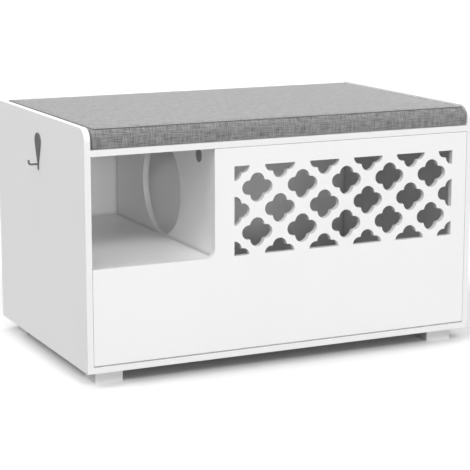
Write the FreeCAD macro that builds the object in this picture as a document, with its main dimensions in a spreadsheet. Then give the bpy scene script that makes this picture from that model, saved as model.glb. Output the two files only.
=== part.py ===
import FreeCAD, Part
import math
import os

# Cat cabinet: a white board bench with a cushion, an open entry compartment with a round
# cat hole, and one L-shaped lattice flap that drops on pivot pins at its lower ends.
# Millimetres, +Z up, front at -Y, origin under the middle of the overall box.

SIZES = {
    "cabinet_width": 840,
    "cabinet_depth": 516,
    "side_top_height": 491,
    "seat_drop": 40,
    "foot_height": 27,
    "board_thickness": 12,
    "side_corner_radius": 24,
    "back_thickness": 6,
    "back_rebate": 6,
    "shelf_top_height": 227,
    "partition_offset": 263,
    "cat_hole_lift": 2,
    "cat_hole_top_margin": 14,
    "door_side_gap": 0.8,
    "door_top_gap": 0.8,
    "door_bottom_gap": 1.4,
    "door_rear_gap": 1.4,
    "door_corner_radius": 18,
    "door_front_edge_radius": 2.5,
    "door_rear_edge_radius": 6,
    "lattice_left_margin": 41,
    "lattice_right_margin": 46,
    "lattice_top_margin": 36,
    "lattice_column_pitch": 98,
    "lattice_row_pitch": 87,
    "lattice_hole_width": 65,
    "lattice_hole_height": 57,
    "side_petal_radius": 14.3,
    "top_petal_radius": 15.5,
    "pivot_lift": 7,
    "pin_diameter": 5,
    "pin_depth_in_door": 28,
    "pin_depth_in_bush": 8,
    "bush_diameter": 8,
    "bush_end_wall": 1,
    "running_clearance": 0.05,
    "fitting_clearance": 0.05,
    "seat_clearance": 0.3,
    "cam_diameter": 25,
    "cam_depth": 9.5,
    "cam_rim_diameter": 28,
    "cam_rim_thickness": 1,
    "cam_reach": 22.5,
    "cam_inset": 75,
    "cam_slot_width": 2.4,
    "cam_slot_length": 13,
    "cam_slot_depth": 1.2,
    "bolt_thread_diameter": 6,
    "bolt_thread_depth": 9,
    "bolt_shank_diameter": 4.5,
    "bolt_head_diameter": 6.6,
    "bolt_head_length": 4,
    "bolt_bore_diameter": 7.2,
    "dowel_diameter": 6,
    "dowel_depth_in_face": 8,
    "dowel_depth_in_edge": 16,
    "dowel_offset": 32,
    "foot_size": 57,
    "foot_side_margin": 24,
    "foot_front_margin": 26,
    "foot_corner_radius": 2.5,
    "foot_screw_spread": 24,
    "foot_screw_counterbore": 9.5,
    "foot_screw_grip": 12,
    "foot_screw_length": 20,
    "foot_screw_diameter": 4,
    "foot_screw_head_diameter": 8,
    "foot_screw_head_height": 3,
    "back_screw_diameter": 3,
    "back_screw_length": 22,
    "back_screw_head_diameter": 6,
    "back_screw_head_height": 2,
    "back_screw_margin": 92,
    "partition_screw_diameter": 4,
    "partition_screw_length": 42,
    "partition_screw_head_diameter": 8,
    "partition_screw_head_height": 3,
    "hook_drop_height": 62,
    "hook_drop_width": 33,
    "hook_tail_length": 10,
    "hook_tail_width": 3,
    "hook_plate_thickness": 2,
    "hook_top_drop": 38,
    "hook_reach": 22.5,
    "hook_rise": 9.5,
    "hook_rod_diameter": 4,
    "hook_bend_radius": 5,
    "hook_screw_diameter": 3,
    "hook_screw_length": 10,
    "hook_screw_head_diameter": 6,
    "hook_screw_head_height": 1.6,
    "hook_screw_spacing": 20,
    "catch_length": 46,
    "catch_depth": 15,
    "catch_height": 12,
    "catch_side_margin": 70,
    "magnet_length": 30,
    "magnet_depth": 9,
    "magnet_height": 6,
    "catch_screw_diameter": 3,
    "catch_screw_length": 18,
    "catch_screw_head_diameter": 5.5,
    "catch_screw_head_height": 2,
    "strike_length": 38,
    "strike_height": 11,
    "strike_thickness": 1.4,
    "strike_screw_diameter": 2.5,
    "strike_screw_length": 9,
    "strike_screw_head_diameter": 4.6,
    "strike_screw_head_height": 1,
    "bumper_diameter": 8,
    "cushion_end_gap": 2,
    "cushion_front_setback": 1,
    "cushion_rear_setback": 3,
    "cushion_seam_height": 37,
    "cushion_crown": 7,
    "cushion_corner_radius": 6,
    "cushion_tuck": 4.5,
    "cushion_side_draw": 0.8,
    "cover_thickness": 1.5,
    "drive_slot_width": 1,
    "cut_overrun": 1,
}

doc = FreeCAD.newDocument("cat_cabinet")
sheet = doc.addObject("Spreadsheet::Sheet", "sizes")
for row, (alias, size) in enumerate(SIZES.items(), start=1):
    sheet.set(f"A{row}", alias)
    sheet.set(f"B{row}", str(size))
    sheet.setAlias(f"B{row}", alias)
doc.recompute()


def value(expression):
    """Number that an expression on the sizes gives."""
    return float(sheet.evalExpression(expression))


# Planes of the cabinet, as expressions on the sizes
half = "0.5"
left_outer = f"((sizes.hook_reach - sizes.cabinet_width) * {half})"
right_outer = f"({left_outer} + sizes.cabinet_width)"
left_inner = f"({left_outer} + sizes.board_thickness)"
right_inner = f"({right_outer} - sizes.board_thickness)"
front = f"(-sizes.cabinet_depth * {half})"
rear = f"(sizes.cabinet_depth * {half})"
back_inner = f"({rear} - sizes.back_thickness)"
door_back = f"({front} + sizes.board_thickness)"
inner_front = f"({door_back} + sizes.door_rear_gap)"
bottom_under = "sizes.foot_height"
bottom_top = f"({bottom_under} + sizes.board_thickness)"
side_top = "sizes.side_top_height"
seat_top = f"({side_top} - sizes.seat_drop)"
seat_under = f"({seat_top} - sizes.board_thickness)"
shelf_top = "sizes.shelf_top_height"
shelf_under = f"({shelf_top} - sizes.board_thickness)"
partition_left = f"({left_outer} + sizes.partition_offset)"
partition_right = f"({partition_left} + sizes.board_thickness)"
door_left = f"({left_inner} + sizes.door_side_gap)"
door_right = f"({right_inner} - sizes.door_side_gap)"
door_low = f"({bottom_top} + sizes.door_bottom_gap)"
door_high = f"({seat_under} - sizes.door_top_gap)"
pivot_y = f"({front} + sizes.board_thickness * {half})"
pivot_z = f"({door_low} + sizes.pivot_lift)"
seat_mid = f"({seat_top} - sizes.board_thickness * {half})"
bottom_mid = f"({bottom_top} - sizes.board_thickness * {half})"
shelf_mid = f"({shelf_top} - sizes.board_thickness * {half})"
partition_mid = f"({partition_left} + sizes.board_thickness * {half})"
cam_front = f"({front} + sizes.cam_inset)"
cam_rear = f"({back_inner} - sizes.cam_inset)"
cam_rows = (cam_front, cam_rear)
dowel_rows = (f"({cam_front} + sizes.dowel_offset)", f"({cam_rear} - sizes.dowel_offset)")

X_AXIS = FreeCAD.Vector(1, 0, 0)
Y_AXIS = FreeCAD.Vector(0, 1, 0)
Z_AXIS = FreeCAD.Vector(0, 0, 1)
NO_AXIS = FreeCAD.Vector(0, 0, 0)


def point(x, y, z):
    return FreeCAD.Vector(value(x), value(y), value(z))


def frame(origin, x_axis, z_axis):
    """Placement whose own X and Z point along the two given directions."""
    return FreeCAD.Placement(origin, FreeCAD.Rotation(x_axis, NO_AXIS, z_axis, "XZY"))


def box(name, x_span, y_span, z_span):
    """Box between pairs of expressions, bound to the sheet."""
    solid = doc.addObject("Part::Box", name)
    spans = {"Length": ("x", x_span), "Width": ("y", y_span), "Height": ("z", z_span)}
    for side, (place, (low, high)) in spans.items():
        solid.setExpression(side, f"{high} - {low}")
        solid.setExpression(f"Placement.Base.{place}", low)
    return solid


def cylinder(name, diameter, length, placement=FreeCAD.Placement()):
    """Cylinder along the placement's own Z, bound to the sheet."""
    solid = doc.addObject("Part::Cylinder", name)
    solid.setExpression("Radius", f"({diameter}) * {half}")
    solid.setExpression("Height", length)
    solid.Placement = placement
    return solid


def cut(name, blank, tools):
    """Blank less all the tools."""
    gathered = doc.addObject("Part::Compound", f"{name}_tools")
    gathered.Links = tools
    result = doc.addObject("Part::Cut", name)
    result.Base = blank
    result.Tool = gathered
    return result


def fuse(name, pieces):
    result = doc.addObject("Part::MultiFuse", name)
    result.Shapes = pieces
    return result


def copies(name, unit, placements):
    """The unit's shape at each placement, as one group of separate solids."""
    doc.recompute()
    group = doc.addObject("Part::Feature", name)
    shapes = []
    for placement in placements:
        shape = unit.Shape.copy()
        shape.Placement = placement.multiply(shape.Placement)
        shapes.append(shape)
    group.Shape = Part.makeCompound(shapes)
    return group


def rounded_outline(corners):
    """Closed outline of lines, with a tangent arc at each (x, y, radius) corner with a radius."""
    vectors = [FreeCAD.Vector(x, y, 0) for x, y, radius in corners]
    stops = []
    for index, (x, y, radius) in enumerate(corners):
        corner = vectors[index]
        before = (vectors[index - 1] - corner).normalize()
        after = (vectors[(index + 1) % len(corners)] - corner).normalize()
        if radius == 0:
            stops.append((corner, None, corner))
            continue
        half_angle = before.getAngle(after) / 2
        reach = radius / math.tan(half_angle)
        inward = (before + after).normalize()
        middle = corner + inward * (radius / math.sin(half_angle) - radius)
        stops.append((corner + before * reach, middle, corner + after * reach))
    edges = []
    for index, (start, middle, end) in enumerate(stops):
        if middle is not None:
            edges.append(Part.Arc(start, middle, end))
        edges.append(Part.LineSegment(end, stops[(index + 1) % len(stops)][0]))
    return edges


def plane_sketch(body, role, name, edges):
    """Sketch on one of the body's own origin planes."""
    sketch = body.newObject("Sketcher::SketchObject", name)
    plane = [item for item in body.Origin.OriginFeatures if item.Role == role][0]
    sketch.AttachmentSupport = [(plane, "")]
    sketch.MapMode = "FlatFace"
    sketch.addGeometry(edges, False)
    return sketch


def plate(name, role, edges, thickness):
    """Body padded from an outline on one of its origin planes."""
    body = doc.addObject("PartDesign::Body", name)
    sketch = plane_sketch(body, role, f"{name}_outline", edges)
    pad = body.newObject("PartDesign::Pad", f"{name}_pad")
    pad.Profile = sketch
    pad.setExpression("Length", thickness)
    return body


def screw(name, kind):
    """Countersunk screw along -Z with its head's face at zero and a cross slot in it."""
    shank = f"sizes.{kind}_screw_diameter"
    head = f"sizes.{kind}_screw_head_diameter"
    rise = f"sizes.{kind}_screw_head_height"
    length = f"sizes.{kind}_screw_length"
    cone = doc.addObject("Part::Cone", f"{name}_head")
    cone.setExpression("Radius1", f"{shank} * {half}")
    cone.setExpression("Radius2", f"{head} * {half}")
    cone.setExpression("Height", rise)
    cone.setExpression("Placement.Base.z", f"-{rise}")
    stem = cylinder(f"{name}_stem", shank, f"{length} - {rise}")
    stem.setExpression("Placement.Base.z", f"-{length}")
    whole = fuse(f"{name}_whole", [cone, stem])
    slots = []
    wide = (f"-{shank} * {half}", f"{shank} * {half}")
    narrow = (f"-sizes.drive_slot_width * {half}", f"sizes.drive_slot_width * {half}")
    deep = (f"-{rise} * {half}", "sizes.cut_overrun")
    slots.append(box(f"{name}_slot_long", wide, narrow, deep))
    slots.append(box(f"{name}_slot_cross", narrow, wide, deep))
    return cut(name, whole, slots)


def screw_bore(name, kind, placements):
    """Clearance hole for a countersunk screw, at each placement."""
    length = f"sizes.{kind}_screw_length"
    slack = "2 * sizes.fitting_clearance"
    shank = f"sizes.{kind}_screw_diameter + {slack}"
    head = f"sizes.{kind}_screw_head_diameter + {slack}"
    cone = doc.addObject("Part::Cone", f"{name}_head")
    cone.setExpression("Radius1", f"({shank}) * {half}")
    cone.setExpression("Radius2", f"({head}) * {half}")
    cone.setExpression("Height", f"sizes.{kind}_screw_head_height")
    cone.setExpression("Placement.Base.z", f"-sizes.{kind}_screw_head_height")
    stem = cylinder(f"{name}_stem", shank, f"{length} + sizes.fitting_clearance")
    stem.setExpression("Placement.Base.z", f"-{length} - sizes.fitting_clearance")
    return copies(f"{name}_bores", fuse(name, [cone, stem]), placements)


# Board joints: bolts anchor in one board's face, cams sit in the other board's face,
# and dowels keep the two lined up. Each frame's own X points into the edge that is joined,
# its own Z to the side that the cam is turned from.
joint_frames = {
    ("left_side_panel", "seat_board"): (left_inner, seat_mid, X_AXIS, Z_AXIS),
    ("right_side_panel", "seat_board"): (right_inner, seat_mid, -X_AXIS, Z_AXIS),
    ("left_side_panel", "bottom_board"): (left_inner, bottom_mid, X_AXIS, Z_AXIS),
    ("right_side_panel", "bottom_board"): (right_inner, bottom_mid, -X_AXIS, Z_AXIS),
    ("left_side_panel", "entry_shelf"): (left_inner, shelf_mid, X_AXIS, -Z_AXIS),
    ("partition_panel", "entry_shelf"): (partition_left, shelf_mid, -X_AXIS, -Z_AXIS),
    ("seat_board", "partition_panel"): (partition_mid, seat_under, -Z_AXIS, -X_AXIS),
    ("bottom_board", "partition_panel"): (partition_mid, bottom_top, Z_AXIS, -X_AXIS),
}
screwed_joint = ("bottom_board", "partition_panel")
quarter_turn = 90
to_own_x = FreeCAD.Rotation(Y_AXIS, quarter_turn)

slack = "2 * sizes.fitting_clearance"
cam_rise = f"(sizes.board_thickness * {half})"
thread_bore = cylinder(
    "thread_bore",
    f"sizes.bolt_thread_diameter + {slack}",
    "sizes.bolt_thread_depth + sizes.cut_overrun",
    FreeCAD.Placement(NO_AXIS, to_own_x),
)
thread_bore.setExpression("Placement.Base.x", "-sizes.bolt_thread_depth")
shank_bore = cylinder(
    "shank_bore",
    "sizes.bolt_bore_diameter",
    "sizes.cam_reach + sizes.cut_overrun",
    FreeCAD.Placement(NO_AXIS, to_own_x),
)
shank_bore.setExpression("Placement.Base.x", "-sizes.cut_overrun")
cam_bore = cylinder(
    "cam_bore",
    f"sizes.cam_diameter + {slack}",
    "sizes.cam_depth + sizes.cut_overrun",
)
cam_bore.setExpression("Placement.Base.x", "sizes.cam_reach")
cam_bore.setExpression("Placement.Base.z", f"{cam_rise} - sizes.cam_depth")
rim_bore = cylinder(
    "cam_rim_bore",
    f"sizes.cam_rim_diameter + {slack}",
    "sizes.cam_rim_thickness + sizes.cut_overrun",
)
rim_bore.setExpression("Placement.Base.x", "sizes.cam_reach")
rim_bore.setExpression("Placement.Base.z", f"{cam_rise} - sizes.cam_rim_thickness")
edge_bore = fuse("edge_bore", [shank_bore, cam_bore, rim_bore])
dowel_face_bore = cylinder(
    "dowel_face_bore",
    f"sizes.dowel_diameter + {slack}",
    "sizes.dowel_depth_in_face + sizes.cut_overrun",
    FreeCAD.Placement(NO_AXIS, to_own_x),
)
dowel_face_bore.setExpression("Placement.Base.x", "-sizes.dowel_depth_in_face")
dowel_edge_bore = cylinder(
    "dowel_edge_bore",
    f"sizes.dowel_diameter + {slack}",
    "sizes.dowel_depth_in_edge + sizes.cut_overrun",
    FreeCAD.Placement(NO_AXIS, to_own_x),
)
dowel_edge_bore.setExpression("Placement.Base.x", "-sizes.cut_overrun")

bolt_frames = []
dowel_frames = []
tools = {}
for (face_board, edge_board), (x, z, into, outward) in joint_frames.items():
    joint = f"{face_board}_{edge_board}"
    cams = [frame(point(x, y, z), into, outward) for y in cam_rows]
    pegs = [frame(point(x, y, z), into, outward) for y in dowel_rows]
    dowel_frames += pegs
    tools.setdefault(face_board, []).append(copies(f"{joint}_peg_face", dowel_face_bore, pegs))
    tools.setdefault(edge_board, []).append(copies(f"{joint}_peg_edge", dowel_edge_bore, pegs))
    if (face_board, edge_board) == screwed_joint:
        continue
    bolt_frames += cams
    tools[face_board].append(copies(f"{joint}_thread", thread_bore, cams))
    tools[edge_board].append(copies(f"{joint}_edge", edge_bore, cams))

# Screws that pass from below through the bottom board into the partition's lower edge
partition_screw_frames = []
for y in cam_rows:
    partition_screw_frames.append(frame(point(partition_mid, y, bottom_under), X_AXIS, -Z_AXIS))
partition_bores = screw_bore("partition_screw_bore", "partition", partition_screw_frames)
tools["bottom_board"].append(partition_bores)
tools["partition_panel"].append(partition_bores)

# Screws through the back panel into the rear edges of the boards
back_columns = (
    f"{left_inner} + sizes.back_screw_margin",
    f"{partition_right} + sizes.back_screw_margin",
    f"{right_inner} - sizes.back_screw_margin",
)
back_screw_spots = [(x, z) for z in (seat_mid, bottom_mid) for x in back_columns]
back_screw_spots.append((f"({left_inner} + {partition_left}) * {half}", shelf_mid))
back_screw_spots.append((partition_mid, f"{shelf_top} + sizes.back_screw_margin"))
back_screw_spots.append((partition_mid, f"{shelf_under} - sizes.back_screw_margin"))
back_screw_frames = [frame(point(x, rear, z), X_AXIS, Y_AXIS) for x, z in back_screw_spots]
back_bores = screw_bore("back_screw_bore", "back", back_screw_frames)
for holder in ("back_panel", "seat_board", "bottom_board", "entry_shelf", "partition_panel"):
    tools.setdefault(holder, []).append(back_bores)

# Feet: square blocks, each held by two counterbored screws from below, set on a slant that
# keeps them clear of the cams, so the right feet are mirrored
foot_sides = {
    "left": (f"({left_outer} + sizes.foot_side_margin)", 1),
    "right": (f"({right_outer} - sizes.foot_side_margin - sizes.foot_size)", -1),
}
foot_fronts = {
    "front": f"({front} + sizes.foot_front_margin)",
    "rear": f"({rear} - sizes.foot_front_margin - sizes.foot_size)",
}
foot_screw_level = f"({bottom_under} - sizes.foot_screw_grip)"
foot_size = value("sizes.foot_size")
foot_corner = value("sizes.foot_corner_radius")
foot_square = [
    (0, 0, foot_corner),
    (foot_size, 0, foot_corner),
    (foot_size, foot_size, foot_corner),
    (0, foot_size, foot_corner),
]
foot_middle = f"sizes.foot_size * {half}"
foot_screw_frames = []
feet = []
for depth_name, foot_front in foot_fronts.items():
    for side_name, (foot_left, hand) in foot_sides.items():
        label = f"foot_{depth_name}_{side_name}"
        block = plate(f"{label}_block", "XY_Plane", rounded_outline(foot_square), "sizes.foot_height")
        block.setExpression("Placement.Base.x", foot_left)
        block.setExpression("Placement.Base.y", foot_front)
        spots = []
        for sign in (-1, 1):
            shift = f"({sign}) * sizes.foot_screw_spread * {half}"
            spot_x = f"{foot_left} + {foot_middle} + ({hand}) * {shift}"
            spot_y = f"{foot_front} + {foot_middle} + {shift}"
            spots.append(frame(point(spot_x, spot_y, foot_screw_level), X_AXIS, -Z_AXIS))
        foot_screw_frames += spots
        counterbore = cylinder(
            f"{label}_counterbore",
            "sizes.foot_screw_counterbore",
            "sizes.foot_height - sizes.foot_screw_grip + sizes.cut_overrun",
        )
        recesses = copies(f"{label}_recesses", counterbore, spots)
        bores = screw_bore(f"{label}_screw_bore", "foot", spots)
        tools["bottom_board"].append(bores)
        feet.append(cut(label, block, [recesses, bores]))

# Hook on the left side: a drop-shaped steel plate with a welded rod arm, held by two screws
hook_top = f"({side_top} - sizes.hook_top_drop)"
hook_tip = f"({hook_top} - sizes.hook_drop_height)"
bulb = value(f"sizes.hook_drop_width * {half}")
drop = value("sizes.hook_drop_height")
tail = value("sizes.hook_tail_length")
tail_half = value(f"sizes.hook_tail_width * {half}")
bulb_centre = FreeCAD.Vector(0, -bulb, 0)
tip_left = FreeCAD.Vector(-tail_half, -drop, 0)
tip_right = FreeCAD.Vector(tail_half, -drop, 0)
flank_drop_share = 0.45
flank_width_share = 0.64
flank_drop = bulb + (drop - bulb) * flank_drop_share
flank_half = bulb * flank_width_share
bulb_left = FreeCAD.Vector(-bulb, -bulb, 0)
bulb_right = FreeCAD.Vector(bulb, -bulb, 0)
flank_left = FreeCAD.Vector(-flank_half, -flank_drop, 0)
flank_right = FreeCAD.Vector(flank_half, -flank_drop, 0)
tail_left = FreeCAD.Vector(-tail_half, -drop - tail, 0)
tail_right = FreeCAD.Vector(tail_half, -drop - tail, 0)
drop_outline = [
    Part.Arc(bulb_left, NO_AXIS, bulb_right),
    Part.Arc(bulb_right, flank_right, tip_right),
    Part.LineSegment(tip_right, tail_right),
    Part.Arc(tail_right, FreeCAD.Vector(0, -drop - tail - tail_half, 0), tail_left),
    Part.LineSegment(tail_left, tip_left),
    Part.Arc(tip_left, flank_left, bulb_left),
]
hook_plate = plate("hook_plate", "XY_Plane", drop_outline, "sizes.hook_plate_thickness")
hook_plate.Placement = frame(point(left_outer, "0", hook_top), -Y_AXIS, -X_AXIS)
rod_half = value(f"sizes.hook_rod_diameter * {half}")
arm_root = point(left_outer, "0", hook_tip)
arm_end = value("sizes.hook_reach") - rod_half
arm_bend = value("sizes.hook_bend_radius")
arm_rise = value("sizes.hook_rise")
bend_middle = arm_bend * (1 - math.sin(math.pi / 4))
arm_start = arm_root + FreeCAD.Vector(-rod_half, 0, 0)
arm_corner = arm_root + FreeCAD.Vector(-arm_end, 0, 0)
bend_start = arm_corner + FreeCAD.Vector(arm_bend, 0, 0)
bend_point = arm_corner + FreeCAD.Vector(bend_middle, 0, bend_middle)
bend_end = arm_corner + FreeCAD.Vector(0, 0, arm_bend)
arm_tip = arm_corner + FreeCAD.Vector(0, 0, arm_rise - rod_half)
arm_path = Part.Wire([
    Part.LineSegment(arm_start, bend_start).toShape(),
    Part.Arc(bend_start, bend_point, bend_end).toShape(),
    Part.LineSegment(bend_end, arm_tip).toShape(),
])
arm_profile = Part.Wire(Part.Circle(arm_start, X_AXIS, rod_half).toShape())
hook_rod = doc.addObject("Part::Feature", "hook_rod")
hook_rod.Shape = arm_path.makePipeShell([arm_profile], True, False)
hook_ball = doc.addObject("Part::Sphere", "hook_ball")
hook_ball.setExpression("Radius", f"sizes.hook_rod_diameter * {half}")
hook_ball.Placement = FreeCAD.Placement(arm_tip, FreeCAD.Rotation())
hook_whole = fuse("hook_whole", [hook_plate, hook_rod, hook_ball])
hook_face = f"({left_outer} - sizes.hook_plate_thickness)"
hook_screw_high = f"({hook_top} - sizes.hook_drop_width * {half})"
hook_screw_low = f"({hook_screw_high} - sizes.hook_screw_spacing)"
hook_screw_frames = []
for level in (hook_screw_high, hook_screw_low):
    hook_screw_frames.append(frame(point(hook_face, "0", level), Y_AXIS, -X_AXIS))
hook_bores = screw_bore("hook_screw_bore", "hook", hook_screw_frames)
tools["left_side_panel"].append(hook_bores)
scoop_hook = cut("scoop_hook", hook_whole, [hook_bores])

# Pivot of the flap: a pin in each end of the door turns in a flush bush in the side panel
pin_length = "sizes.pin_depth_in_door + sizes.door_side_gap + sizes.pin_depth_in_bush"
bore_depth = "(sizes.pin_depth_in_bush + sizes.seat_clearance)"
bush_depth = f"({bore_depth} + sizes.bush_end_wall)"
pivot_sides = {"left": (left_inner, X_AXIS), "right": (right_inner, -X_AXIS)}
pins = []
bushes = []
pin_bores = []
for side_name, (face, into) in pivot_sides.items():
    seat = frame(point(face, pivot_y, pivot_z), -Z_AXIS, into)
    pin = cylinder(f"pivot_pin_{side_name}", "sizes.pin_diameter", pin_length)
    pin_shift = FreeCAD.Placement(Z_AXIS * -value("sizes.pin_depth_in_bush"), FreeCAD.Rotation())
    pin.Placement = seat.multiply(pin_shift)
    pins.append(pin)
    barrel = cylinder(f"bush_barrel_{side_name}", "sizes.bush_diameter", bush_depth)
    barrel_shift = FreeCAD.Placement(Z_AXIS * -value(bush_depth), FreeCAD.Rotation())
    barrel.Placement = seat.multiply(barrel_shift)
    bore_shift = FreeCAD.Placement(Z_AXIS * -value(bore_depth), FreeCAD.Rotation())
    running_bore = cylinder(
        f"bush_bore_{side_name}",
        "sizes.pin_diameter + 2 * sizes.running_clearance",
        f"{bore_depth} + sizes.cut_overrun",
        seat.multiply(bore_shift),
    )
    bushes.append(cut(f"pivot_bush_{side_name}", barrel, [running_bore]))
    socket = cylinder(
        f"bush_socket_{side_name}",
        f"sizes.bush_diameter + {slack}",
        f"{bush_depth} + sizes.cut_overrun",
        barrel.Placement,
    )
    tools[f"{side_name}_side_panel"].append(socket)
    pin_bores.append(cylinder(
        f"pin_bore_{side_name}",
        f"sizes.pin_diameter + {slack}",
        f"{pin_length} + sizes.fitting_clearance",
        pin.Placement,
    ))

# Side panels: full depth, rounded at the front top, rebated at the rear for the back panel
depth = value("sizes.cabinet_depth")
low = value(bottom_under)
high = value(side_top)
panel_corner = value("sizes.side_corner_radius")
front_y = value(front)
panel_corners = [
    (front_y, low, 0),
    (front_y + depth, low, 0),
    (front_y + depth, high, 0),
    (front_y, high, panel_corner),
]
rebate_spans = {
    "left": (f"({left_inner} - sizes.back_rebate)", f"({left_inner} + sizes.cut_overrun)"),
    "right": (f"({right_inner} - sizes.cut_overrun)", f"({right_inner} + sizes.back_rebate)"),
}
side_panels = []
for side_name, panel_left in (("left", left_outer), ("right", right_inner)):
    label = f"{side_name}_side_panel"
    blank = plate(
        f"{label}_blank",
        "YZ_Plane",
        rounded_outline(panel_corners),
        "sizes.board_thickness",
    )
    blank.setExpression("Placement.Base.x", panel_left)
    rebate = box(
        f"{label}_rebate",
        rebate_spans[side_name],
        (back_inner, f"({rear} + sizes.cut_overrun)"),
        (f"({bottom_under} - sizes.cut_overrun)", seat_top),
    )
    side_panels.append(cut(label, blank, tools[label] + [rebate]))

# Magnetic catches under the seat board and strike plates on the flap's back
catch_front = f"({door_back} + sizes.strike_thickness + sizes.seat_clearance)"
catch_rear = f"({catch_front} + sizes.catch_depth)"
catch_low = f"({seat_under} - sizes.catch_height)"
catch_middles = {
    "left": f"({partition_right} + sizes.catch_side_margin)",
    "right": f"({right_inner} - sizes.catch_side_margin)",
}
strike_low = f"({door_high} - sizes.strike_height)"
housings = []
magnets = []
strikes = []
catch_screw_frames = []
strike_screw_frames = []
magnet_low = f"({catch_low} + (sizes.catch_height - sizes.magnet_height) * {half})"
for side_name, middle in catch_middles.items():
    reach = f"sizes.catch_length * {half}"
    body_block = box(
        f"catch_block_{side_name}",
        (f"({middle} - {reach})", f"({middle} + {reach})"),
        (catch_front, catch_rear),
        (catch_low, seat_under),
    )
    magnet_span = (
        f"({middle} - sizes.magnet_length * {half})",
        f"({middle} + sizes.magnet_length * {half})",
    )
    magnet_levels = (magnet_low, f"({magnet_low} + sizes.magnet_height)")
    magnet_depths = (catch_front, f"({catch_front} + sizes.magnet_depth)")
    pocket_depths = (f"({catch_front} - sizes.cut_overrun)", magnet_depths[1])
    magnets.append(box(f"catch_magnet_{side_name}", magnet_span, magnet_depths, magnet_levels))
    pocket = box(f"catch_pocket_{side_name}", magnet_span, pocket_depths, magnet_levels)
    spots = []
    for sign in (-1, 1):
        ear = f"({sign}) * (sizes.catch_length + sizes.magnet_length) * {half} * {half}"
        catch_middle_y = f"{catch_front} + sizes.catch_depth * {half}"
        spots.append(frame(point(f"{middle} + {ear}", catch_middle_y, catch_low), X_AXIS, -Z_AXIS))
    catch_screw_frames += spots
    bores = screw_bore(f"catch_bore_{side_name}", "catch", spots)
    tools["seat_board"].append(bores)
    housings.append(cut(f"catch_housing_{side_name}", body_block, [pocket, bores]))
    strike_block = box(
        f"strike_block_{side_name}",
        (f"({middle} - sizes.strike_length * {half})", f"({middle} + sizes.strike_length * {half})"),
        (door_back, f"({door_back} + sizes.strike_thickness)"),
        (strike_low, door_high),
    )
    strike_face = f"({door_back} + sizes.strike_thickness)"
    strike_level = f"({strike_low} + sizes.strike_height * {half})"
    strike_screw_frames.append(frame(point(middle, strike_face, strike_level), X_AXIS, Y_AXIS))
    strikes.append(strike_block)
strike_bores = screw_bore("strike_screw_bore", "strike", strike_screw_frames)
strike_group = doc.addObject("Part::Compound", "strike_blocks")
strike_group.Links = strikes
strike_plates = cut("strike_plates", strike_group, [strike_bores])
catch_housings = doc.addObject("Part::Compound", "catch_housings")
catch_housings.Links = housings
catch_magnets = doc.addObject("Part::Compound", "catch_magnets")
catch_magnets.Links = magnets

# Boards between the sides
seat_blank = box("seat_blank", (left_inner, right_inner), (front, back_inner), (seat_under, seat_top))
seat_board = cut("seat_board", seat_blank, tools["seat_board"])
bottom_blank = box(
    "bottom_blank",
    (left_inner, right_inner),
    (front, back_inner),
    (bottom_under, bottom_top),
)
bottom_board = cut("bottom_board", bottom_blank, tools["bottom_board"])
back_blank = box(
    "back_blank",
    (f"({left_inner} - sizes.back_rebate)", f"({right_inner} + sizes.back_rebate)"),
    (back_inner, rear),
    (bottom_under, seat_top),
)
back_panel = cut("back_panel", back_blank, tools["back_panel"])
shelf_blank = box(
    "shelf_blank",
    (left_inner, partition_left),
    (inner_front, back_inner),
    (shelf_under, shelf_top),
)
entry_shelf = cut("entry_shelf", shelf_blank, tools["entry_shelf"])

# Partition: full height, with the round cat hole just above the shelf, midway in its depth
partition_blank = box(
    "partition_blank",
    (partition_left, partition_right),
    (inner_front, back_inner),
    (bottom_top, seat_under),
)
hole_low = f"({shelf_top} + sizes.cat_hole_lift)"
hole_diameter = f"({seat_under} - sizes.cat_hole_top_margin - {hole_low})"
hole_centre = point(
    f"{partition_left} - sizes.cut_overrun",
    f"({inner_front} + {back_inner}) * {half}",
    f"{hole_low} + {hole_diameter} * {half}",
)
cat_hole = cylinder(
    "cat_hole",
    hole_diameter,
    "sizes.board_thickness + 2 * sizes.cut_overrun",
    FreeCAD.Placement(hole_centre, to_own_x),
)
partition_panel = cut("partition_panel", partition_blank, tools["partition_panel"] + [cat_hole])

# Flap door: an L with a rounded inner corner, pierced by the lattice
inner_corner = value("sizes.door_corner_radius")
door_corners = [
    (value(door_left), value(door_low), 0),
    (value(door_right), value(door_low), 0),
    (value(door_right), value(door_high), 0),
    (value(partition_left), value(door_high), 0),
    (value(partition_left), value(shelf_top), inner_corner),
    (value(door_left), value(shelf_top), 0),
]
door_body = plate("door_body", "XZ_Plane", rounded_outline(door_corners), "sizes.board_thickness")
door_body.setExpression("Placement.Base.y", door_back)


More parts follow.
